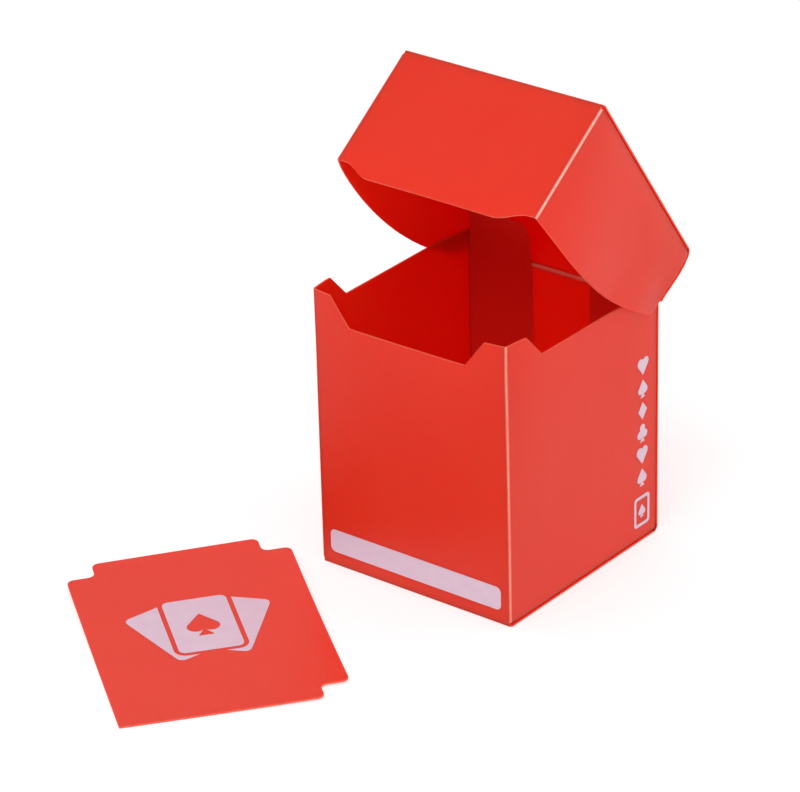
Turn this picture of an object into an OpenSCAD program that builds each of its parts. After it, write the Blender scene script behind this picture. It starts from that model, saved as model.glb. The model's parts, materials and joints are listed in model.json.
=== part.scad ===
// Flip-top card deck box, folded and bonded from one creased polypropylene
// sheet, with its lid open and its loose divider card lying in front of it.
// The origin is the centre of the box's underside. +X runs to the right
// along the front, +Y runs to the back, +Z is up. Sizes are millimetres.

/* [Sheet] */
// Thickness of the polypropylene sheet
sheet_t = 0.6; // [0.4:0.05:0.8]
// Inside radius of a sharp crease
bend_r = 0.15; // [0.05:0.05:0.4]
// Outside radius of the two soft folds at the back of the bottom and lid
soft_fold_r = 2.2; // [1.2:0.1:4]
// Thickness of the adhesive between two bonded layers
glue_t = 0.3; // [0.2:0.05:0.5]

/* [Box] */
// Width across the front, outside
body_w = 72; // [56:0.5:110]
// Depth from front to back, outside
body_d = 76.2; // [50:0.2:120]
// Height of the front panel's corner posts
body_h = 92.6; // [75:0.2:130]
// Width of the front posts at the top
front_post_w = 7.4; // [4:0.2:12]
// Sideways run of the slope beside a front post
front_post_run = 7; // [2:0.5:10]
// Depth of the finger recess in the front panel
front_recess = 9.2; // [4:0.2:12]
// Depth of the front part of a side panel that stands full height
side_post_w = 8.9; // [4:0.1:16]
// Run of the slope behind that part
side_post_run = 7.3; // [2:0.1:12]
// Depth of the recess along the top of a side panel
side_recess = 8; // [2:0.2:12]
// Width of a flap bonded inside the back panel
back_flap_w = 24.9; // [14:0.1:27]
// Width of a flap bonded on top of the bottom panel
bottom_flap_w = 26; // [14:0.5:27]

/* [Lid] */
// Height of the posts' tops above the hinge line
hinge_drop = 14.4; // [12.6:0.1:24]
// Height of the closed lid's top above the posts
lid_headroom = 5; // [3:0.1:8]
// Height of the lid's front panel at its two corners
lid_front_h = 41.3; // [25:0.1:60]
// Extra length of the tongue in the middle of the lid's front edge
lid_tongue = 3.8; // [1:0.2:8]
// Distance from the lid's side to the start of its tongue
tongue_start = 3; // [1:0.5:6]
// Sideways run of the curve from the corner to the tongue
tongue_run = 11; // [4:0.5:16]
// Radius of the long curve along a cheek's free edge
cheek_edge_r = 134; // [90:1:300]
// Distance from the lid's front face to that curve's lowest point
cheek_low_point = 12; // [4:0.5:24]
// Radius of a cheek's rear lower corner
cheek_corner_r = 6; // [2:0.5:10]
// Width of a flap bonded under the lid's top
top_flap_w = 22; // [12:0.5:27]
// Clearance between a cheek and the side of the box
lid_gap = 0.3; // [0.2:0.05:0.8]
// Clearance between the lid's front panel and the posts as it swings past them
swing_gap = 0.15; // [0.1:0.05:1]
// Clearance between a cheek's rear edge and the lid's back panel
cheek_gap = 0.5; // [0.3:0.1:1.5]
// Angle that the lid stands open from closed
lid_open = 54.9; // [0:0.1:170]

/* [Hinge] */
// Thickness of the pressed web that the lid turns on
web_t = 0.25; // [0.15:0.05:0.35]
// Height of the pressed web
web_h = 0.6; // [0.3:0.1:1]
// Radius of the rounded bead along the hinge line
bead_r = 0.2; // [0.1:0.05:0.3]
// Running clearance between that bead and the lid's back panel
bead_gap = 0.05; // [0.03:0.01:0.1]

/* [Divider] */
// Sideways clearance of the divider in the box, both sides together
divider_side_gap = 0.8; // [0.4:0.1:3]
// Clearance above the divider when the lid is closed
divider_head_gap = 0.4; // [0.2:0.1:6]
// Width of the notch at three corners of the divider
divider_notch_w = 9; // [5:0.5:14]
// Height of that notch
divider_notch_h = 7.4; // [5:0.2:14]
// Radius of the divider's outer corners
divider_corner_r = 2.2; // [0.5:0.1:2.4]
// Turn of the divider on the surface it lies on
divider_turn = 51.6; // [40:0.1:60]
// Distance from the box's front left corner to the divider's right edge
divider_away = 9; // [3:0.1:80]
// Distance from the divider's bottom edge to the place beside that corner
divider_past = 82.4; // [40:0.1:95]

/* [Printing] */
// Thickness of the screen-printed ink
ink_t = 0.05; // [0.03:0.01:0.08]
// Width of the writing field on the front panel
label_w = 64.8; // [20:0.2:66]
// Height of the writing field
label_h = 7.7; // [5:0.1:20]
// Height of the writing field's lower edge above the base
label_z = 4.8; // [3:0.1:20]
// Corner radius of the writing field
label_r = 1.8; // [0.5:0.1:2.4]
// Size of a suit pip in the column on the right side
pip_size = 6; // [3:0.2:7]
// Distance between two pips in the column
pip_pitch = 7.6; // [5:0.2:12]
// Number of pips in the column
pip_count = 6; // [1:1:6]
// Height of the lowest pip's centre above the base
pip_z = 22.2; // [18:0.2:24]
// Distance of the pips and the card picture from the back of the box
side_print_in = 8.6; // [6:0.2:20]
// Width of the card picture below the pips
card_icon_w = 8; // [5:0.2:10]
// Height of the card picture's centre above the base
card_icon_z = 10.6; // [8:0.2:12]
// Length of a card in the divider's fan of cards
fan_card_h = 30; // [12:0.5:32]
// Angle between two cards of the fan
fan_step = 24; // [12:1:30]

/* [Hidden] */
$fn = 48;
ORANGE_RED = [0.87, 0.22, 0.15];
CREASE_PINK = [0.98, 0.60, 0.50];
INK = [0.88, 0.78, 0.85];
GLUE = [0.93, 0.85, 0.75];

half_w = body_w / 2;
half_d = body_d / 2;
hinge_z = body_h - hinge_drop;
crease_r = bend_r + sheet_t;

// A bonded flap lies this far inside the outer face of the sheet it is on
layer = sheet_t + glue_t;
// Fold lines of the body
front_fold_y = -half_d + crease_r;
rear_fold_y = half_d - layer - crease_r;
side_fold_x = half_w - crease_r;
side_base_z = layer + crease_r;
side_top_z = body_h - side_recess;

// Outside of the closed lid. A post's top corner swings past the lid's front
// panel at swing_r from the hinge line, so that panel stands off the box.
lid_half_w = half_w + lid_gap + sheet_t;
swing_r = norm([body_d, hinge_drop]);
lid_front_y = half_d - swing_r - swing_gap - sheet_t;
lid_top_z = body_h + lid_headroom;
lid_side_x = lid_half_w - crease_r;
lid_fold_y = lid_front_y + crease_r;
cheek_rear_y = half_d - sheet_t - cheek_gap;
cheek_top_z = lid_top_z - layer - crease_r;
lid_corner_z = lid_top_z - lid_front_h;

// Bonded flaps stop this far short of the folds next to them, and their
// ends taper by this much, so that they tuck in without binding
flap_relief = 1.2;
flap_taper = 5;
// Adhesive strips stay this far inside the edges of the flap they hold
glue_inset = 4;

// The divider stands between the two layers of the bottom and of the lid
divider_t = sheet_t;
divider_w = body_w - 2 * sheet_t - divider_side_gap;
divider_h = lid_top_z - 2 * (sheet_t + layer) - divider_head_gap;
divider_out = divider_w + divider_away;
divider_at = [
    -half_w - divider_out * cos(divider_turn) + divider_past * sin(divider_turn),
    -half_d - divider_out * sin(divider_turn) - divider_past * cos(divider_turn)
];

// ---- outlines ----

function unit(v) = v / norm(v);

// Points that round the corner p between prev and next with radius r
function corner_arc(prev, p, next, r, steps) =
    let (
        a = unit(prev - p),
        b = unit(next - p),
        half = acos(a * b) / 2,
        sweep = 180 - 2 * half,
        start = a * r / tan(half),
        centre = unit(a + b) * r / sin(half),
        from = start - centre,
        to = b * r / tan(half) - centre
    )
    [for (i = [0:steps])
        p + centre + r * unit(from * sin(sweep * (1 - i / steps)) + to * sin(sweep * i / steps))];

// Outline through corners given as [x, y, corner radius]
function rounded(corners, steps = 6) =
    let (n = len(corners))
    [for (i = [0:n - 1])
        let (
            prev = corners[(i + n - 1) % n],
            here = corners[i],
            next = corners[(i + 1) % n],
            p = [here.x, here.y]
        )
        each here.z == 0 ? [p] : corner_arc([prev.x, prev.y], p, [next.x, next.y], here.z, steps)];

function rounded_box(w, h, r) =
    rounded([[-w / 2, -h / 2, r], [w / 2, -h / 2, r], [w / 2, h / 2, r], [-w / 2, h / 2, r]]);

// Smooth step from 0 to 1
function ease(t) = t * t * (3 - 2 * t);

// ---- placing a flat piece of sheet ----

// Stands an (x, z) outline up, from y_front back by the thickness t
module facing_front(y_front, t = sheet_t) {
    translate([0, y_front + t, 0]) rotate([90, 0, 0]) linear_extrude(t) children();
}

// Stands a (y, z) outline up, from x_in outwards by the thickness t
module facing_side(x_in, t = sheet_t) {
    translate([x_in, 0, 0]) rotate([90, 0, 90]) linear_extrude(t) children();
}

// Lays an (x, y) outline flat, from z_low up by the thickness t
module lying(z_low, t = sheet_t) {
    translate([0, 0, z_low]) linear_extrude(t) children();
}

// The right-hand piece as drawn, or its mirror image on the left
module on_side(side) {
    mirror([side < 0 ? 1 : 0, 0, 0]) children();
}

// ---- creases: quarter tubes that join two panels face to face ----

module quarter_ring(outer_r) {
    intersection() {
        difference() {
            circle(outer_r);
            circle(outer_r - sheet_t);
        }
        square(outer_r);
    }
}

// Quarter tube along X, with quarter 0 towards +Y and +Z
module crease_along_x(y, z, length, quarter, outer_r = crease_r) {
    translate([-length / 2, y, z]) rotate([90, 0, 90])
        linear_extrude(length) rotate(90 * quarter) quarter_ring(outer_r);
}

// Quarter tube along Y, with quarter 0 towards +X and +Z
module crease_along_y(x, z, y_from, y_to, quarter) {
    translate([x, y_to, z]) rotate([90, 0, 0])
        linear_extrude(y_to - y_from) rotate(90 * quarter) quarter_ring(crease_r);
}

// Quarter tube along Z, with quarter 0 towards +X and +Y
module crease_along_z(x, y, z_from, z_to, quarter) {
    translate([x, y, z_from]) linear_extrude(z_to - z_from) rotate(90 * quarter) quarter_ring(crease_r);
}

// ---- box ----

module bottom_panel() {
    length = body_d - crease_r - soft_fold_r;
    color(ORANGE_RED) lying(0) translate([-half_w, front_fold_y]) square([body_w, length]);
}

module front_panel() {
    tip = half_w - front_post_w;
    foot = tip - front_post_run;
    low = body_h - front_recess;
    tip_r = 0.6;
    foot_r = 1;
    color(ORANGE_RED) facing_front(-half_d) polygon(rounded([
        [-side_fold_x, crease_r, 0],
        [side_fold_x, crease_r, 0],
        [side_fold_x, body_h, 0],
        [tip, body_h, tip_r],
        [foot, low, foot_r],
        [-foot, low, foot_r],
        [-tip, body_h, tip_r],
        [-side_fold_x, body_h, 0]
    ]));
}

module back_panel() {
    height = hinge_z - web_h - soft_fold_r;
    color(ORANGE_RED) facing_front(half_d - sheet_t)
        translate([-half_w, soft_fold_r]) square([body_w, height]);
}

module side_panel(side) {
    tip = -half_d + side_post_w;
    foot = tip + side_post_run;
    tip_r = 0.6;
    foot_r = 1;
    color(ORANGE_RED) on_side(side) facing_side(half_w - sheet_t) polygon(rounded([
        [front_fold_y, side_base_z, 0],
        [rear_fold_y, side_base_z, 0],
        [rear_fold_y, side_top_z, 0],
        [foot, side_top_z, foot_r],
        [tip, body_h, tip_r],
        [front_fold_y, body_h, 0]
    ]));
}

module bottom_front_crease() {
    color(ORANGE_RED) crease_along_x(front_fold_y, crease_r, 2 * side_fold_x, 2);
}

module bottom_rear_crease() {
    color(ORANGE_RED) crease_along_x(half_d - soft_fold_r, soft_fold_r, body_w, 3, soft_fold_r);
}

module front_crease(side) {
    color(CREASE_PINK) on_side(side)
        crease_along_z(side_fold_x, front_fold_y, side_base_z, body_h, 3);
}

module rear_crease(side) {
    color(ORANGE_RED) on_side(side)
        crease_along_z(side_fold_x, rear_fold_y, side_base_z, side_top_z, 0);
}

module bottom_side_crease(side) {
    color(ORANGE_RED) on_side(side)
        crease_along_y(side_fold_x, side_base_z, front_fold_y, rear_fold_y, 3);
}

// The flap stands as high as the posts, with a rounded inner top corner
module back_flap(side) {
    inner_x = half_w - back_flap_w;
    low_z = side_base_z + flap_relief;
    top_r = 4;
    color(ORANGE_RED) on_side(side) facing_front(half_d - layer - sheet_t) polygon(rounded([
        [side_fold_x, low_z, 0],
        [side_fold_x, body_h, 1],
        [inner_x, body_h, top_r],
        [inner_x, low_z + flap_taper, 1],
        [inner_x + flap_taper, low_z, 1]
    ]));
}

// Flap folded inwards along Y, from fold_x to inner_x, between two ends
function side_flap(fold_x, inner_x, y_from, y_to) = rounded([
    [fold_x, y_from, 0],
    [fold_x, y_to, 0],
    [inner_x, y_to - flap_taper, 2],
    [inner_x, y_from + flap_taper, 2]
]);

module bottom_flap(side) {
    color(ORANGE_RED) on_side(side) lying(layer) polygon(side_flap(
        side_fold_x, half_w - bottom_flap_w,
        front_fold_y + flap_relief, rear_fold_y - flap_relief
    ));
}

module back_adhesive() {
    strip_w = back_flap_w - crease_r - 2 * glue_inset;
    low_z = side_base_z + flap_relief + flap_taper;
    strip_h = hinge_z - web_h - glue_inset - low_z;
    color(GLUE) for (side = [-1, 1])
        on_side(side) facing_front(half_d - layer, glue_t)
            translate([side_fold_x - glue_inset - strip_w, low_z]) square([strip_w, strip_h]);
}

module bottom_adhesive() {
    strip_w = bottom_flap_w - crease_r - 2 * glue_inset;
    from_y = front_fold_y + flap_relief + flap_taper;
    strip_l = rear_fold_y - flap_relief - flap_taper - from_y;
    color(GLUE) for (side = [-1, 1])
        on_side(side) lying(sheet_t, glue_t)
            translate([side_fold_x - glue_inset - strip_w, from_y]) square([strip_w, strip_l]);
}

// Pressed web along the hinge line, with a rounded bead on the axis
module living_hinge() {
    length = 2 * side_fold_x;
    color(CREASE_PINK) translate([-length / 2, half_d, hinge_z]) rotate([90, 0, 90])
        linear_extrude(length) union() {
            circle(bead_r);
            translate([-web_t, -web_h]) square([web_t, web_h]);
        }
}

// ---- printing ----

module label_field() {
    color(INK) facing_front(-half_d - ink_t, ink_t)
        translate([0, label_z + label_h / 2]) polygon(rounded_box(label_w, label_h, label_r));
}

// Suit pips, each one unit tall
module stem() {
    polygon([[-0.2, -0.5], [0.2, -0.5], [0.04, -0.25], [0.04, 0], [-0.04, 0], [-0.04, -0.25]]);
}

// Heart of two lobes, with a point that its straight sides meet at tangents
module heart() {
    lobe_r = 0.26;
    lobe = [0.22, 0.2];
    tip_y = -0.5;
    reach = norm([lobe.x, lobe.y - tip_y]);
    lean = atan2(lobe.x, lobe.y - tip_y) + asin(lobe_r / reach);
    side_l = sqrt(reach * reach - lobe_r * lobe_r);
    touch = [side_l * sin(lean), tip_y + side_l * cos(lean)];
    for (s = [-1, 1]) translate([s * lobe.x, lobe.y]) circle(lobe_r);
    polygon([[0, tip_y], touch, [lobe.x, lobe.y], [-lobe.x, lobe.y], [-touch.x, touch.y]]);
}

module spade() {
    translate([0, 0.08]) rotate(180) scale(0.84) heart();
    stem();
}

module diamond() {
    polygon([[0, -0.5], [0.38, 0], [0, 0.5], [-0.38, 0]]);
}

module club() {
    leaf_r = 0.225;
    leaf_out = 0.24;
    for (a = [-30, 90, 210]) translate([leaf_out * cos(a), 0.04 + leaf_out * sin(a)]) circle(leaf_r);
    circle(0.12);
    stem();
}

module suit(i) {
    if (i % 4 == 0) spade();
    if (i % 4 == 1) heart();
    if (i % 4 == 2) club();
    if (i % 4 == 3) diamond();
}

module side_pips() {
    color(INK) facing_side(half_w, ink_t)
        for (i = [0:pip_count - 1])
            translate([half_d - side_print_in, pip_z + i * pip_pitch]) scale(pip_size) suit(i);
}

// Picture of one card: a ring with a spade in it
module side_card_picture() {
    card_h = card_icon_w * 1.3;
    line = card_icon_w * 0.13;
    corner_r = card_icon_w * 0.16;
    color(INK) facing_side(half_w, ink_t)
        translate([half_d - side_print_in, card_icon_z]) {
            difference() {
                polygon(rounded_box(card_icon_w, card_h, corner_r));
                polygon(rounded_box(card_icon_w - 2 * line, card_h - 2 * line, corner_r - line / 2));
            }
            scale(card_icon_w * 0.55) spade();
        }
}

// ---- lid, drawn closed and then opened about the hinge line ----

module opened() {
    translate([0, half_d, hinge_z]) rotate([-lid_open, 0, 0]) translate([0, -half_d, -hinge_z]) children();
}

module lid_back_panel() {
    low_z = hinge_z + bead_r + bead_gap;
    height = lid_top_z - soft_fold_r - low_z;
    color(ORANGE_RED) opened() facing_front(half_d - sheet_t)
        translate([-lid_half_w, low_z]) square([2 * lid_half_w, height]);
}

module lid_top_panel() {
    length = half_d - soft_fold_r - lid_fold_y;
    color(ORANGE_RED) opened() lying(lid_top_z - sheet_t)
        translate([-lid_half_w, lid_fold_y]) square([2 * lid_half_w, length]);
}

// The free edge drops through an S-curve on each side to the tongue
module lid_front_panel() {
    steps = 12;
    high = lid_top_z - crease_r;
    s_start = lid_half_w - tongue_start;
    s_curve = [for (i = [0:steps])
        [s_start - tongue_run * i / steps, lid_corner_z - lid_tongue * ease(i / steps)]];
    right = concat([[lid_side_x, high], [lid_side_x, lid_corner_z]], s_curve);
    left = [for (i = [len(right) - 1:-1:0]) [-right[i].x, right[i].y]];
    color(ORANGE_RED) opened() facing_front(lid_front_y) polygon(concat(right, left));
}

// Free edge of a cheek: the long curve, then the rounded rear corner
function cheek_edge(steps = 18) =
    let (
        low = [lid_front_y + cheek_low_point, lid_corner_z - 0.5],
        long_c = low + [0, cheek_edge_r],
        corner_y = cheek_rear_y - cheek_corner_r,
        between = cheek_edge_r - cheek_corner_r,
        meet = asin((corner_y - long_c.x) / between),
        corner_c = [corner_y, long_c.y - between * cos(meet)],
        begin = asin((lid_fold_y - long_c.x) / cheek_edge_r)
    )
    concat(
        [for (i = [0:steps]) let (a = begin + (meet - begin) * i / steps)
            long_c + cheek_edge_r * [sin(a), -cos(a)]],
        [for (i = [1:8]) let (a = meet + (90 - meet) * i / 8)
            corner_c + cheek_corner_r * [sin(a), -cos(a)]]
    );

module lid_cheek(side) {
    outline = concat(
        [[lid_fold_y, cheek_top_z]],
        cheek_edge(),
        [[cheek_rear_y, cheek_top_z]]
    );
    color(ORANGE_RED) opened() on_side(side) facing_side(lid_half_w - sheet_t) polygon(outline);
}

module lid_rear_crease() {
    color(ORANGE_RED) opened()
        crease_along_x(half_d - soft_fold_r, lid_top_z - soft_fold_r, 2 * lid_half_w, 0, soft_fold_r);
}

module lid_front_crease() {
    color(ORANGE_RED) opened() crease_along_x(lid_fold_y, lid_top_z - crease_r, 2 * lid_side_x, 1);
}

module lid_side_crease(side) {
    color(CREASE_PINK) opened() on_side(side)
        crease_along_z(lid_side_x, lid_fold_y, lid_corner_z, cheek_top_z, 3);
}

module lid_flap_crease(side) {
    color(ORANGE_RED) opened() on_side(side)
        crease_along_y(lid_side_x, cheek_top_z, lid_fold_y, cheek_rear_y - flap_relief, 0);
}

module lid_top_flap(side) {
    color(ORANGE_RED) opened() on_side(side) lying(lid_top_z - layer - sheet_t) polygon(side_flap(
        lid_side_x, lid_half_w - top_flap_w,
        lid_fold_y + flap_relief, cheek_rear_y - 2 * flap_relief
    ));
}

module lid_adhesive() {
    strip_w = top_flap_w - crease_r - 2 * glue_inset;
    from_y = lid_fold_y + flap_relief + flap_taper;
    strip_l = cheek_rear_y - 2 * flap_relief - flap_taper - from_y;
    color(GLUE) opened() for (side = [-1, 1])
        on_side(side) lying(lid_top_z - layer, glue_t)
            translate([lid_side_x - glue_inset - strip_w, from_y]) square([strip_w, strip_l]);
}

// ---- loose divider card, lying face up with its plain corner nearest ----

module laid_down() {
    translate([divider_at.x, divider_at.y, 0]) rotate([0, 0, divider_turn]) children();
}

// Notched corners stand in from the card's corners by the notch's size.
// a and b run along the two edges that meet there.
function notch(corner, a, b) =
    let (r = divider_corner_r)
    [
        [each corner + a, r],
        [each corner + a + b, r],
        [each corner + b, r]
    ];

module divider_card() {
    across = [divider_notch_w, 0];
    up = [0, divider_notch_h];
    color(ORANGE_RED) laid_down() linear_extrude(divider_t) polygon(rounded(concat(
        [[0, 0, 0.4]],
        notch([divider_w, 0], -across, up),
        notch([divider_w, divider_h], -up, -across),
        notch([0, divider_h], across, -up)
    )));
}

// Fan of three cards with narrow gaps between them, and a spade on the front one
module divider_print() {
    card_w = fan_card_h * 0.66;
    corner_r = fan_card_h * 0.07;
    gap = fan_card_h * 0.05;
    pivot_drop = fan_card_h * 0.62;
    module card(grow) {
        translate([0, pivot_drop])
            polygon(rounded_box(card_w + 2 * grow, fan_card_h + 2 * grow, corner_r + grow));
    }
    color(INK) laid_down() translate([divider_w / 2, divider_h * 0.54 - pivot_drop, divider_t])
        linear_extrude(ink_t) {
            difference() {
                rotate(fan_step) card(0);
                card(gap);
            }
            difference() {
                rotate(-fan_step) card(0);
                card(gap);
            }
            difference() {
                card(0);
                translate([0, pivot_drop]) scale(fan_card_h * 0.42) spade();
            }
        }
}

// ---- assembly ----

bottom_panel();
front_panel();
back_panel();
side_panel(-1);  // left_side_panel
side_panel(1);  // right_side_panel
bottom_front_crease();
bottom_rear_crease();
front_crease(-1);  // front_left_crease
front_crease(1);  // front_right_crease
rear_crease(-1);  // rear_left_crease
rear_crease(1);  // rear_right_crease
bottom_side_crease(-1);  // bottom_left_crease
bottom_side_crease(1);  // bottom_right_crease
back_flap(-1);  // left_back_flap
back_flap(1);  // right_back_flap
bottom_flap(-1);  // left_bottom_flap
bottom_flap(1);  // right_bottom_flap
back_adhesive();
bottom_adhesive();
label_field();
side_pips();
side_card_picture();
living_hinge();
lid_back_panel();
lid_top_panel();
lid_front_panel();
lid_cheek(-1);  // lid_left_cheek
lid_cheek(1);  // lid_right_cheek
lid_rear_crease();
lid_front_crease();
lid_side_crease(-1);  // lid_left_crease
lid_side_crease(1);  // lid_right_crease
lid_flap_crease(-1);  // lid_left_flap_crease
lid_flap_crease(1);  // lid_right_flap_crease
lid_top_flap(-1);  // lid_left_top_flap
lid_top_flap(1);  // lid_right_top_flap
lid_adhesive();
divider_card();
divider_print();
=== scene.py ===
import json
import math

import bmesh
import bpy
import numpy as np
from mathutils import Matrix, Vector
from mathutils.bvhtree import BVHTree

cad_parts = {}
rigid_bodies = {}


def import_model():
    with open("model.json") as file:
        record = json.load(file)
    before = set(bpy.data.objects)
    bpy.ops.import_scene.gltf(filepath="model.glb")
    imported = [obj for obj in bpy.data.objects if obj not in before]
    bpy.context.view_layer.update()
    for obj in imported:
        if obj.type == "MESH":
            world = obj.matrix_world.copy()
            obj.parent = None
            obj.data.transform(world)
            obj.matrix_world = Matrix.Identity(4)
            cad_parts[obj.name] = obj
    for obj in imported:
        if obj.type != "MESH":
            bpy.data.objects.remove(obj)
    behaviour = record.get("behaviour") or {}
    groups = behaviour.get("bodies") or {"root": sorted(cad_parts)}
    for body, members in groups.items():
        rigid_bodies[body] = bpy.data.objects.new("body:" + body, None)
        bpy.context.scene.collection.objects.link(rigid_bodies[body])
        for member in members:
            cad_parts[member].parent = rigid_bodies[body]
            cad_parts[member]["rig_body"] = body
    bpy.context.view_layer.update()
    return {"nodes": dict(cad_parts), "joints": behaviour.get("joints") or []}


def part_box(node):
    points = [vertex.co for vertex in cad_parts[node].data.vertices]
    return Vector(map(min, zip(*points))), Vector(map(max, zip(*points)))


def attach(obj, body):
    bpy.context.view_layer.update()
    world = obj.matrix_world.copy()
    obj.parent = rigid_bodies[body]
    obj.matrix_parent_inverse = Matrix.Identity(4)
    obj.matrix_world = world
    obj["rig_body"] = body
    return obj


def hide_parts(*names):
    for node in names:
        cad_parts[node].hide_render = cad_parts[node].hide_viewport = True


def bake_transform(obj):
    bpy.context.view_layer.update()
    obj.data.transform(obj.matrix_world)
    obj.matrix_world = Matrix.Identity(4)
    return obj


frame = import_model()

# Card deck box folded from one polypropylene sheet. Every visible piece is the packed
# piece, rebuilt finer, with softened cut edges and the slight bows and leans that a
# springy sheet takes. Only the living hinge is made anew, as a strip bent to the open lid.
# All lengths are metres.

MM = 0.001

NODES = frame["nodes"]
BODIES = {name: node["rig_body"] for name, node in NODES.items()}
HINGE = next(j for j in frame["joints"] if j["name"] == "lid_hinge")
OPENED_BY = math.radians(-HINGE["range_deg"][0])

# ---------------------------------------------------------------- home frames
# A piece is shaped in its body's home frame: the box as it stands, the lid closed on
# it, and the divider square to X and Y with its plain corner at 0.

HINGE_AT = Vector(HINGE["pos_m"])
CLOSE_LID = (
    Matrix.Translation(HINGE_AT)
    @ Matrix.Rotation(-OPENED_BY, 4, Vector(HINGE["axis"]))
    @ Matrix.Translation(-HINGE_AT)
)

# The divider's turn on the floor is looked for in this range, in steps per radian.
STEPS_PER_RADIAN = 10000
TURN_STEPS = range(7000, 11000)


def divider_home():
    """Matrix that squares the divider up, by its plain corner and the edge that leaves it."""
    points = [v.co.xy for v in NODES["divider_card"].data.vertices]
    corner = min(points, key=lambda p: p.y)
    left = min(points, key=lambda p: p.x)
    right = max(points, key=lambda p: p.x)

    def off_line(turn):
        across = Vector((-math.sin(turn), math.cos(turn)))
        return abs(min((p - corner).dot(across) for p in (left, right)))

    turn = min((step / STEPS_PER_RADIAN for step in TURN_STEPS), key=off_line)
    return Matrix.Rotation(-turn, 4, "Z") @ Matrix.Translation(-corner.to_3d())


HOME = {"box": Matrix.Identity(4), "lid": CLOSE_LID, "divider": divider_home()}


def home_box(node):
    """Lowest and highest corner of a CAD node's box in its body's home frame."""
    co = [HOME[BODIES[node]] @ v.co for v in NODES[node].data.vertices]
    return (
        Vector([min(p[k] for p in co) for k in range(3)]),
        Vector([max(p[k] for p in co) for k in range(3)]),
    )


HALF_W = home_box("bottom_panel")[1].x
HALF_D = -home_box("front_panel")[0].y
POST_TOP = home_box("front_panel")[1].z
HINGE_Z = HINGE_AT.z
LID_TOP = home_box("lid_top_panel")[1].z
LID_FOLD = home_box("lid_left_cheek")[1].z
LID_LOW = home_box("lid_front_panel")[0].z
CARD_FAR = home_box("divider_card")[1]

# ---------------------------------------------------------------- bows and leans
# How far the sheet stands from flat. A pair is where a ramp starts and how long it is.

# the box, most at its open top
UP_MOST = 1.05
FRONT_BOW = 1.7 * MM
FRONT_TURN = 0.5 * MM
FRONT_NARROW = 0.5 * MM
NARROW_REACH = 12 * MM
SIDE_BOW = 1.15 * MM
LEAN_LEFT = 0.75 * MM
LEAN_FADE = (8 * MM, 28 * MM)
LEFT_WALL_MOST = 1.0 * MM
LEFT_SWELL = 0.35 * MM
SWELL_UP = 0.4
SWELL_ACROSS = (0.5, 1)
BACK_BOW = 0.4 * MM

# the left wall's rear edge and the flap behind it, both pulled to the right
REAR_PULL = 1.1 * MM
PULL_UP = (0, 30 * MM)
PULL_BACK = (14 * MM, 22 * MM)
PULL_ACROSS = (11 * MM, 24 * MM)
BACK_DEPTH = 0.8 * MM

# the back flaps above the hold of their adhesive
FLAP_LEAN = 2.0 * MM
FLAP_LEAN_FROM = 76 * MM
FLAP_LEAN_POWER = 1.6
FLAP_LEAN_AT_FOLD = 0.25

# the lid
LEFT_CHEEK_BOW = 1.1 * MM
LEFT_OFF_FOLD = 2 * MM
LEFT_OFF_FRONT = 3.5 * MM
LEFT_FALL = 0.25
RIGHT_CHEEK_BOW = 1.5 * MM
RIGHT_OFF_FOLD = 4 * MM
RIGHT_OFF_FRONT = 7 * MM
RIGHT_AT_FOLD = 0.6
CHEEK_DROP = (0, 36 * MM)
CHEEK_ACROSS = (0.5, 0.4)
CHEEK_FLARE = 1.5 * MM
FLARE_DROP = (0, 40 * MM)
FLARE_MIDDLE = 20 * MM
FLARE_REACH = 28 * MM
LID_AHEAD = 1 * MM
HINGE_HOLD = (0, 16 * MM)
LID_FRONT_BOW = 0.6 * MM
LID_TOP_CROWN = 0.3 * MM

# the divider's near and far edge, each at its left and right corner
DIVIDER_LIFT = ((0.0, 0.8 * MM), (2.0 * MM, 4.0 * MM))


def smooth(t):
    t = np.clip(t, 0, 1)
    return t * t * (3 - 2 * t)


def ramp(value, start, length):
    """0 up to start, 1 from there plus length on, and smooth between."""
    return smooth((value - start) / length)


def settle(value, length):
    """0 at 0, then up to 1 within a few lengths."""
    return 1 - np.exp(-value / length)


def hump(t):
    """1 in the middle, 0 at t = -1 and 1, and flat beyond."""
    return np.cos(np.clip(t, -1, 1) * math.pi / 2)


def flat_hump(t):
    """Like hump, but with a broad level top."""
    return 1 - np.clip(np.abs(t), 0, 1) ** 4


def bow_box(co):
    """The front bows out and turns a little, the side walls bow out and lean to the left."""
    x, y, z = co.T.copy()
    up = np.clip(z / POST_TOP, 0, UP_MOST)
    open_top = up**2
    to_back = np.clip((y + HALF_D) / (2 * HALF_D), 0, 1)
    across = x / HALF_W

    hinge_hold = hump(2 * np.clip(z / HINGE_Z, 0, 1) - 1)
    co[:, 1] -= FRONT_BOW * open_top * flat_hump(across) * (1 - to_back)
    co[:, 1] += FRONT_TURN * open_top * across * (1 - to_back)
    co[:, 1] += BACK_BOW * hinge_hold * hump(across) * to_back

    lean = LEAN_LEFT * (1 - ramp(y, *LEAN_FADE))
    at_front = 1 - ramp(y, -HALF_D, NARROW_REACH)
    shift = SIDE_BOW * flat_hump(y / HALF_D) * across - lean - FRONT_NARROW * at_front * across
    shift = np.maximum(open_top * shift, -LEFT_WALL_MOST)
    at_left = ramp(-across, *SWELL_ACROSS)
    shift -= LEFT_SWELL * hump((up - SWELL_UP) / SWELL_UP) * at_left * (1 - to_back)

    pull = REAR_PULL * ramp(z, *PULL_UP) * ramp(y, *PULL_BACK)
    pull_from, pull_over = PULL_ACROSS
    at_fold = np.clip((-x - pull_from) / pull_over, 0, 1)
    shift += np.where(y < HALF_D - BACK_DEPTH, pull * at_fold, 0)
    co[:, 0] += shift


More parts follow.
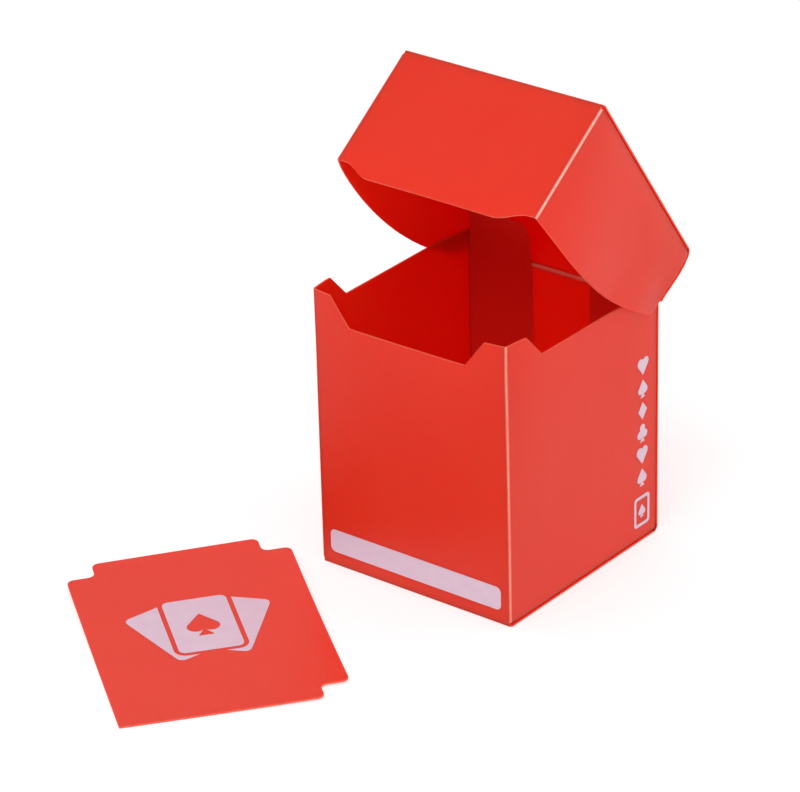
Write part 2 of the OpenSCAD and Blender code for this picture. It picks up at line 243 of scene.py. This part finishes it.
def bow_lid(co):
    """Cheeks stand off at their folds and spread, the front bows out and the top is crowned."""
    x, y, z = co.T.copy()
    across = x / HALF_W
    drop = np.clip(LID_FOLD - z, 0, 1)
    lower = ramp(drop, *CHEEK_DROP)

    left = LEFT_CHEEK_BOW * settle(drop, LEFT_OFF_FOLD) * (1 - LEFT_FALL * lower)
    right = settle(drop, RIGHT_OFF_FOLD) * (
        RIGHT_AT_FOLD * RIGHT_CHEEK_BOW + (1 - RIGHT_AT_FOLD) * RIGHT_CHEEK_BOW * lower
    )
    flared = hump((y + HALF_D - FLARE_MIDDLE) / FLARE_REACH)
    right += CHEEK_FLARE * ramp(drop, *FLARE_DROP) * flared

    behind_front = np.clip(y + HALF_D + LID_AHEAD, 0, 1)
    off_front = settle(behind_front, np.where(x < 0, LEFT_OFF_FRONT, RIGHT_OFF_FRONT))
    off_hinge = ramp(np.hypot(y - HALF_D, z - HINGE_Z), *HINGE_HOLD)
    spread = off_front * off_hinge * across * ramp(np.abs(across), *CHEEK_ACROSS)
    co[:, 0] += np.where(x < 0, left, right) * spread

    to_front = 1 - ramp(y, -HALF_D, 2 * HALF_D)
    down = np.clip((LID_TOP - z) / (LID_TOP - LID_LOW), 0, 1)
    co[:, 1] -= LID_FRONT_BOW * down * hump(across) * to_front
    on_top = ramp(z, LID_FOLD, LID_TOP - LID_FOLD)
    co[:, 2] += LID_TOP_CROWN * on_top * hump(across) * hump(y / HALF_D)


def bow_divider(co):
    """The card curls up to its far edge, more at its right."""
    u = np.clip(co[:, 0] / CARD_FAR.x, 0, 1)
    v = np.clip(co[:, 1] / CARD_FAR.y, 0, 1)
    (near_left, near_right), (far_left, far_right) = DIVIDER_LIFT
    near = near_left * (1 - u) + near_right * u**2
    far = far_left * (1 - u) + far_right * u
    co[:, 2] += near * (1 - v) ** 2 + far * v**2


def lean_flap(node, co):
    """Above the hold of the adhesive a back flap leans in, most at its free edge."""
    lo, hi = home_box(node)
    inner, fold = (hi.x, lo.x) if lo.x < 0 else (lo.x, hi.x)
    free = smooth((co[:, 0] - fold) / (inner - fold))
    up = np.clip((co[:, 2] - FLAP_LEAN_FROM) / (POST_TOP - FLAP_LEAN_FROM), 0, 1)
    share = FLAP_LEAN_AT_FOLD + (1 - FLAP_LEAN_AT_FOLD) * free
    co[:, 1] -= FLAP_LEAN * up**FLAP_LEAN_POWER * share


BOWS = {"box": bow_box, "lid": bow_lid, "divider": bow_divider}

# ---------------------------------------------------------------- pieces

SPACING = 3 * MM
CUT_ROUND = 0.1 * MM
CUT_ANGLE = 1.0
FLAT_ANGLE = 0.0005
SHARP_ANGLE = math.radians(40)
TOUCH = 1e-6
JOINED_WITHIN = 0.02 * MM
NEAR = 1 * MM


def cleaned(node):
    """The CAD node's solid in its home frame, with flat faces merged."""
    bm = bmesh.new()
    bm.from_mesh(NODES[node].data)
    bm.transform(HOME[BODIES[node]])
    bmesh.ops.remove_doubles(bm, verts=bm.verts, dist=TOUCH)
    bmesh.ops.dissolve_limit(bm, angle_limit=FLAT_ANGLE, verts=bm.verts, edges=bm.edges)
    return bm


def neighbours(node):
    """Search trees of the pieces of the same body that lie against this one."""
    lo, hi = home_box(node)
    found = []
    for other, body in BODIES.items():
        if other == node or body != BODIES[node]:
            continue
        low, high = home_box(other)
        if all(low[k] < hi[k] + NEAR and lo[k] < high[k] + NEAR for k in range(3)):
            bm = cleaned(other)
            found.append(BVHTree.FromBMesh(bm))
            bm.free()
    return found


def is_joined(edge, trees):
    """True where the edge runs on into a neighbouring piece of the sheet."""
    middle = (edge.verts[0].co + edge.verts[1].co) / 2
    return any(tree.find_nearest(middle, JOINED_WITHIN)[0] is not None for tree in trees)


def round_cut_edges(bm, node):
    """Softens the piece's own cut edges, and leaves those that join on to a neighbour."""
    trees = neighbours(node)
    edges = [e for e in bm.edges if len(e.link_faces) == 2 and e.calc_face_angle() > CUT_ANGLE]
    edges = [e for e in edges if not is_joined(e, trees)]
    bmesh.ops.bevel(
        bm, geom=edges, offset=CUT_ROUND, segments=2, affect="EDGES", clamp_overlap=True
    )


def extent(bm, axis):
    along = [v.co[axis] for v in bm.verts]
    return min(along), max(along)


def thin_axis(bm):
    size = [high - low for low, high in (extent(bm, axis) for axis in range(3))]
    return size.index(min(size))


def slice_up(bm):
    """Cuts the piece across, so that it has points enough to bow."""
    for axis in range(3):
        low, high = extent(bm, axis)
        steps = math.ceil((high - low) / SPACING)
        for i in range(1, steps):
            at, normal = Vector((0, 0, 0)), Vector((0, 0, 0))
            at[axis] = low + (high - low) * i / steps
            normal[axis] = 1
            geom = bm.verts[:] + bm.edges[:] + bm.faces[:]
            bmesh.ops.bisect_plane(bm, geom=geom, plane_co=at, plane_no=normal, dist=TOUCH)


def mark_cut_faces(bm, thin):
    """Gives the faces that look along the sheet the second material, the cut edge with its
    painted light.
    """
    for f in bm.faces:
        f.normal_update()
        f.material_index = 1 if abs(f.normal[thin]) < 0.5 else 0


def fold_whitening(points):
    """Whitening of a crease, 0 to 1: most halfway round its quarter tube."""
    lo, hi = points.min(0), points.max(0)
    axis = int(np.argmax(hi - lo))
    b, c = [k for k in range(3) if k != axis]
    best = None
    for at_b in (lo[b], hi[b]):
        for at_c in (lo[c], hi[c]):
            r = np.hypot(points[:, b] - at_b, points[:, c] - at_c)
            spread = (r.max() - r.min()) / r.max()
            if r.min() > TOUCH and (best is None or spread < best[0]):
                best = (spread, at_b, at_c)
    _, at_b, at_c = best
    angle = np.arctan2(np.abs(points[:, b] - at_b), np.abs(points[:, c] - at_c))
    return np.sin(2 * angle)


def mesh_of(bm, name, whitening):
    """A smooth mesh that stores how far the sheet is stress-whitened at each point."""
    for f in bm.faces:
        f.smooth = True
    mesh = bpy.data.meshes.new(name)
    bm.to_mesh(mesh)
    bm.free()
    layer = mesh.attributes.new("whitening", "FLOAT", "POINT")
    layer.data.foreach_set("value", whitening.astype(np.float32))
    return mesh


def linked(name, data):
    obj = bpy.data.objects.new(name, data)
    bpy.context.scene.collection.objects.link(obj)
    return obj


def weigh_normals(obj):
    """Lets the large faces set the shading, and keeps the result in the mesh."""
    weigh = obj.modifiers.new("weigh", "WEIGHTED_NORMAL")
    weigh.mode = "FACE_AREA"
    weigh.weight = 100
    weigh.keep_sharp = True
    graph = bpy.context.evaluated_depsgraph_get()
    final = bpy.data.meshes.new_from_object(obj.evaluated_get(graph))
    first, name = obj.data, obj.data.name
    obj.modifiers.clear()
    obj.data = final
    bpy.data.meshes.remove(first)
    final.name = name


def build(node, materials, kind="panel"):
    """Rebuilds a CAD node as a finer piece that stands for it."""
    body = BODIES[node]
    bm = cleaned(node)
    thin = thin_axis(bm)
    if kind in ("panel", "crease"):
        round_cut_edges(bm, node)
    slice_up(bm)
    bmesh.ops.triangulate(bm, faces=[f for f in bm.faces if len(f.verts) > 4])
    if kind == "panel":
        mark_cut_faces(bm, thin)
    co = np.array([v.co for v in bm.verts], float)
    whitening = fold_whitening(co) if kind == "crease" else np.zeros(len(co))
    mesh = mesh_of(bm, node + "_sheet", whitening)
    if node.endswith("back_flap"):
        lean_flap(node, co)
    BOWS[body](co)
    back = np.array(HOME[body].inverted())
    co = co @ back[:3, :3].T + back[:3, 3]
    mesh.vertices.foreach_set("co", co.ravel())
    mesh.update()
    mesh.set_sharp_from_angle(angle=SHARP_ANGLE)
    for m in materials:
        mesh.materials.append(m)
    obj = linked("sheet_" + node, mesh)
    weigh_normals(obj)
    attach(obj, body)
    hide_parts(node)


# ---------------------------------------------------------------- living hinge

WEB_THICK = 0.25 * MM
WEB_REACH = 0.45 * MM
BEND_REACH = 0.15 * MM
BEND_CORNER = 0.05 * MM
BEND_STEPS = 8
WEB_ROWS = 28


def web_path():
    """Middle line of the open web in Y and Z, and the two ends of its bend."""
    axis = Vector((HINGE_AT.y, HINGE_AT.z))
    along = Vector((math.sin(OPENED_BY), math.cos(OPENED_BY)))
    inward = Vector((-math.cos(OPENED_BY), math.sin(OPENED_BY)))
    start = axis + Vector((-WEB_THICK / 2, -2 * WEB_REACH))
    bend_from = axis + Vector((-WEB_THICK / 2, -BEND_REACH))
    corner = axis + Vector((-WEB_THICK / 2, BEND_CORNER))
    bend_to = axis + along * BEND_REACH + inward * WEB_THICK / 2
    path = [start, start.lerp(bend_from, 0.5)]
    for i in range(BEND_STEPS + 1):
        t = i / BEND_STEPS
        path.append(bend_from.lerp(corner, t).lerp(corner.lerp(bend_to, t), t))
    path.append(bend_to + along * WEB_REACH)
    return path, bend_from, bend_to


def web_row(bm, x, path):
    """The web's cross-section at x: one side of its middle line, then the other."""
    row = []
    for side in (-0.5, 0.5):
        for k, p in enumerate(path):
            ahead = path[min(k + 1, len(path) - 1)] - path[max(k - 1, 0)]
            normal = Vector((-ahead.y, ahead.x)).normalized()
            q = p + normal * WEB_THICK * side
            row.append(bm.verts.new((x, q.x, q.y)))
    return row


def hinge_strip():
    """The pressed web as one strip across the hinge line, from box to lid, bent to the open
    lid.
    """
    lo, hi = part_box("living_hinge")
    path, bend_from, bend_to = web_path()
    n = len(path)
    bm = bmesh.new()
    rows = [web_row(bm, lo.x + (hi.x - lo.x) * i / WEB_ROWS, path) for i in range(WEB_ROWS + 1)]
    for a, b in zip(rows, rows[1:]):
        for k in range(n - 1):
            bm.faces.new((a[k], a[k + 1], b[k + 1], b[k]))
            bm.faces.new((b[n + k], b[n + k + 1], a[n + k + 1], a[n + k]))
        for k in (0, n - 1):
            bm.faces.new((a[k], b[k], b[n + k], a[n + k]))
    for row in (rows[0], rows[-1]):
        for k in range(n - 1):
            bm.faces.new((row[k], row[k + 1], row[n + k + 1], row[n + k]))
    bmesh.ops.recalc_face_normals(bm, faces=bm.faces)
    mesh = mesh_of(bm, "hinge_strip", np.ones(len(rows) * 2 * n))
    mesh.set_sharp_from_angle(angle=SHARP_ANGLE)
    mesh.materials.append(WEB)
    obj = linked("sheet_living_hinge", mesh)
    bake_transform(obj)
    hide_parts("living_hinge")


# ---------------------------------------------------------------- materials


class Nodes:
    """Short calls that make and link shader nodes."""

    def __init__(self, name):
        self.material = bpy.data.materials.new(name)
        self.material.use_nodes = True
        self.tree = self.material.node_tree
        self.shader = self.tree.nodes["Principled BSDF"]

    def feed(self, socket, value):
        """Links value into the socket, or sets it where it is a plain value."""
        if isinstance(value, bpy.types.NodeSocket):
            self.tree.links.new(value, socket)
        else:
            socket.default_value = value

    def add(self, kind, settings=None, **inputs):
        n = self.tree.nodes.new(kind)
        for key, value in (settings or {}).items():
            setattr(n, key, value)
        for key, value in inputs.items():
            self.feed(n.inputs[key], value)
        return n

    def compute(self, operation, a, b):
        n = self.add("ShaderNodeMath", {"operation": operation})
        self.feed(n.inputs[0], a)
        self.feed(n.inputs[1], b)
        return n.outputs[0]

    def noise(self, scale, stretch=(1, 1, 1), detail=2.0):
        coord = self.add("ShaderNodeTexCoord")
        place = self.add("ShaderNodeMapping", Vector=coord.outputs["Object"], Scale=stretch)
        vector = place.outputs["Vector"]
        n = self.add("ShaderNodeTexNoise", Vector=vector, Scale=scale, Detail=detail)
        return n.outputs["Fac"]

    def span(self, value, low, high):
        """Spreads the middle of a noise over low to high."""
        n = self.add("ShaderNodeMapRange", {"clamp": True}, Value=value)
        limits = {"From Min": 0.3, "From Max": 0.7, "To Min": low, "To Max": high}
        for key, limit in limits.items():
            n.inputs[key].default_value = limit
        return n.outputs["Result"]

    def blend(self, factor, a, b):
        n = self.add("ShaderNodeMix", {"data_type": "RGBA"})
        for key, value in ((0, factor), (6, (*a, 1)), (7, (*b, 1))):
            self.feed(n.inputs[key], value)
        return n.outputs[2]

    def bump(self, height, strength, distance, under=None):
        n = self.add("ShaderNodeBump", Strength=strength, Distance=distance, Height=height)
        if under is not None:
            self.feed(n.inputs["Normal"], under)
        return n.outputs["Normal"]

    def finish(self, colour, roughness, normal, **fixed):
        self.feed(self.shader.inputs["Base Color"], colour)
        self.feed(self.shader.inputs["Roughness"], roughness)
        self.feed(self.shader.inputs["Normal"], normal)
        for key, value in fixed.items():
            self.shader.inputs[key.replace("_", " ")].default_value = value
        return self.material


# noise scales, about features per metre
DRIFT = 30
SLOW_WAVE = 55
CRAZING = 700
GRAIN = 2600
STREAK = (900, 900, 14)
CRAZED_LEAST = 0.72

RED = (0.985, 0.031, 0.009)
RED_DEEP = (0.965, 0.026, 0.007)
CREASE_PALE = (0.97, 0.38, 0.28)
SPECULAR = 0.25
GLOW = 0.95
SCATTER = 3.1 * MM
SCATTER_RATIO = (1.0, 0.12, 0.06)


def whitened(n, plain, pale, narrow):
    """Stress-whitening: a crazed band along the fold, narrower with a higher power."""
    mark = n.add("ShaderNodeAttribute", {"attribute_name": "whitening"}).outputs["Fac"]
    crazing = n.span(n.noise(CRAZING, detail=4), CRAZED_LEAST, 1.0)
    power = n.compute("POWER", mark, narrow)
    strength = n.compute("MULTIPLY", power, crazing)
    return n.blend(strength, plain, pale)


def plastic(name, colours, rough, narrow=None, glow=GLOW, specular=SPECULAR):
    """Satin polypropylene with extrusion streaks and a fine grain.

    The two colours drift into each other. With narrow given, the second whitens the fold.
    """
    n = Nodes(name)
    if narrow is None:
        colour = n.blend(n.span(n.noise(DRIFT), 0, 1), *colours)
    else:
        colour = whitened(n, *colours, narrow)
    streaks = n.noise(1, stretch=STREAK, detail=3)
    slow = n.bump(n.noise(SLOW_WAVE, detail=1), 0.25, 0.05 * MM)
    lines = n.bump(streaks, 0.12, 0.01 * MM, under=slow)
    fine = n.bump(n.noise(GRAIN, detail=1), 0.10, 0.01 * MM, under=lines)
    return n.finish(
        colour, n.span(streaks, *rough), fine, IOR=1.49, Specular_IOR_Level=specular,
        Subsurface_Weight=glow, Subsurface_Radius=SCATTER_RATIO, Subsurface_Scale=SCATTER,
    )


def printed(name):
    """Opaque screen ink, a little patchy."""
    n = Nodes(name)
    patchy = n.span(n.noise(260, detail=3), 0, 1)
    colour = n.blend(patchy, (0.73, 0.545, 0.65), (0.70, 0.51, 0.625))
    rough = n.span(n.noise(500), 0.42, 0.52)
    normal = n.bump(n.noise(1800, detail=2), 0.15, 0.01 * MM)
    return n.finish(colour, rough, normal, IOR=1.5, Specular_IOR_Level=0.35)


def film(name):
    """Dried bonding film between the glued layers."""
    n = Nodes(name)
    patchy = n.span(n.noise(120, detail=3), 0, 1)
    colour = n.blend(patchy, (0.85, 0.62, 0.5), (0.78, 0.5, 0.4))
    rough = n.span(n.noise(300), 0.3, 0.45)
    normal = n.bump(n.noise(400), 0.2, 0.02 * MM)
    return n.finish(colour, rough, normal, IOR=1.48)


SHEET = plastic("polypropylene", (RED, RED_DEEP), (0.36, 0.44))
INNER = plastic(
    "inner_flap", ((0.995, 0.024, 0.014), (0.99, 0.020, 0.012)), (0.36, 0.44), glow=0.0
)
# Cut edges are a paler orange than the sheet: painted light, standing in for light that leaks
# out through the cut face.
CUT_EDGE_PAINTED_LIGHT = plastic("cut_edge", ((0.97, 0.15, 0.09), (0.95, 0.12, 0.07)), (0.45, 0.55), glow=0.5)
# The fold creases are a darker red than the sheet: painted shade that dulls their bright rims.
# The paler red halfway round each fold is stress-whitening.
FOLD_PAINTED_SHADE = plastic(
    "soft_fold", ((0.80, 0.034, 0.010), (0.86, 0.09, 0.05)), (0.36, 0.46), narrow=2.0, glow=0.15
)
# The bottom creases are a much darker red than the sheet: painted shade where the box meets the
# floor.
FOOT_FOLD_PAINTED_SHADE = plastic(
    "foot_fold_painted_shade", ((0.60, 0.026, 0.009), (0.56, 0.023, 0.007)), (0.40, 0.50), glow=0.1
)
BOX_CREASE = plastic(
    "whitened_crease", (RED, CREASE_PALE), (0.42, 0.55), narrow=0.6, glow=0.1
)
LID_CREASE = plastic(
    "bright_crease", (RED, (1.0, 0.60, 0.50)), (0.42, 0.55), narrow=0.5, glow=0.05
)
WEB = plastic("hinge_web", (RED, (1.0, 0.38, 0.28)), (0.40, 0.55), narrow=2.0, glow=0.3)
DIVIDER = plastic(
    "divider_sheet", ((0.665, 0.037, 0.011), (0.645, 0.033, 0.009)), (0.40, 0.48), specular=0.5
)
PRINT = printed("screen_ink")
GLUE = film("bonding_film")

# ---------------------------------------------------------------- the object

for part in (
    "bottom_panel", "front_panel", "back_panel", "left_side_panel", "right_side_panel",
    "left_bottom_flap", "right_bottom_flap",
    "lid_back_panel", "lid_top_panel", "lid_front_panel", "lid_left_cheek",
    "lid_right_cheek", "lid_left_top_flap", "lid_right_top_flap",
):
    build(part, [SHEET, CUT_EDGE_PAINTED_LIGHT])

for part in ("left_back_flap", "right_back_flap"):
    build(part, [INNER, CUT_EDGE_PAINTED_LIGHT])

for part in (
    "rear_left_crease", "rear_right_crease", "lid_rear_crease", "lid_front_crease",
    "lid_left_flap_crease", "lid_right_flap_crease",
):
    build(part, [FOLD_PAINTED_SHADE], kind="crease")
for part in (
    "bottom_front_crease", "bottom_rear_crease", "bottom_left_crease", "bottom_right_crease",
):
    build(part, [FOOT_FOLD_PAINTED_SHADE], kind="crease")

for part in ("front_left_crease", "front_right_crease"):
    build(part, [BOX_CREASE], kind="crease")
for part in ("lid_left_crease", "lid_right_crease"):
    build(part, [LID_CREASE], kind="crease")
hinge_strip()
for part in ("label_field", "side_pips", "side_card_picture", "divider_print"):
    build(part, [PRINT], kind="ink")
for part in ("back_adhesive", "bottom_adhesive", "lid_adhesive"):
    build(part, [GLUE], kind="film")
build("divider_card", [DIVIDER, CUT_EDGE_PAINTED_LIGHT])

# ---------------------------------------------------------------- studio

FLOOR_SIZE = 6
FLOOR_DROP = 0.02 * MM
FLOOR_GREYS = ((0.50, 0.50, 0.50), (0.49, 0.49, 0.49))
FLOOR_GLOW = 0.57
# grey of the sky from the horizon, 0, to straight up, 1
SKY = ((0.0, 0.43), (0.35, 0.54), (0.75, 0.78), (1.0, 0.99))
LIT_POINT = (0, 0, 0.08)
KEY_POWER = 15
BACK_POWER = 5


def floor():
    """A matt floor that glows just enough to come out white."""
    bm = bmesh.new()
    bmesh.ops.create_grid(bm, x_segments=2, y_segments=2, size=FLOOR_SIZE)
    mesh = bpy.data.meshes.new("floor")
    bm.to_mesh(mesh)
    bm.free()
    obj = linked("floor", mesh)
    obj.location.z = -FLOOR_DROP
    n = Nodes("pale_floor")
    n.feed(n.shader.inputs["Base Color"], n.blend(n.span(n.noise(3), 0, 1), *FLOOR_GREYS))
    n.shader.inputs["Roughness"].default_value = 0.9
    n.shader.inputs["Specular IOR Level"].default_value = 0.1
    n.shader.inputs["Emission Color"].default_value = (1, 1, 1, 1)
    n.shader.inputs["Emission Strength"].default_value = FLOOR_GLOW
    mesh.materials.append(n.material)


def softbox(name, place, size, power):
    """A soft rectangular light that faces the object."""
    light = bpy.data.lights.new(name, "AREA")
    light.shape = "RECTANGLE"
    light.size, light.size_y = size
    light.energy = power
    obj = linked(name, light)
    obj.location = place
    aim = Vector(LIT_POINT) - Vector(place)
    obj.rotation_euler = aim.to_track_quat("-Z", "Y").to_euler()


def studio():
    """A grey tent that brightens to its top, a key above the front and a light behind right."""
    world = bpy.data.worlds.new("studio")
    bpy.context.scene.world = world
    world.use_nodes = True
    tree = world.node_tree
    background = tree.nodes["Background"]
    coord = tree.nodes.new("ShaderNodeTexCoord")
    split = tree.nodes.new("ShaderNodeSeparateXYZ")
    grade = tree.nodes.new("ShaderNodeValToRGB")
    tree.links.new(coord.outputs["Generated"], split.inputs[0])
    tree.links.new(split.outputs["Z"], grade.inputs[0])
    tree.links.new(grade.outputs[0], background.inputs["Color"])
    points = grade.color_ramp.elements
    while len(points) < len(SKY):
        points.new(0.5)
    for point, (at, value) in zip(points, SKY):
        point.position = at
        point.color = (value, value, value, 1)
    background.inputs["Strength"].default_value = 1.0
    softbox("key", (0.35, -1.2, 1.8), (1.2, 1.2), KEY_POWER)
    softbox("back_right", (1.3, 1.2, 0.5), (1.2, 0.9), BACK_POWER)


def camera():
    """Long lens at the photograph's angle: azimuth from the front towards the right."""
    azimuth, elevation, roll = (math.radians(a) for a in (38.4633, 26.6244, -1.3027))
    distance = 1.413339
    across, above = -0.0280906, 0.0460270
    back = Vector((
        math.sin(azimuth) * math.cos(elevation),
        -math.cos(azimuth) * math.cos(elevation),
        math.sin(elevation),
    ))
    right = (-back).cross(Vector((0, 0, 1))).normalized()
    up = right.cross(-back)
    rolled_right = right * math.cos(roll) + up * math.sin(roll)
    rolled_up = up * math.cos(roll) - right * math.sin(roll)
    data = bpy.data.cameras.new("camera")
    data.sensor_width = 36
    data.lens = 206.0715
    data.clip_start, data.clip_end = 0.05, 50
    obj = linked("camera", data)
    place = back * distance + rolled_right * across + rolled_up * above
    turn = Matrix((rolled_right, rolled_up, back)).transposed()
    obj.matrix_world = Matrix.Translation(place) @ turn.to_4x4()
    bpy.context.scene.camera = obj


floor()
studio()
camera()
bpy.context.scene.view_settings.view_transform = "Standard"
bpy.context.scene.view_settings.look = "None"
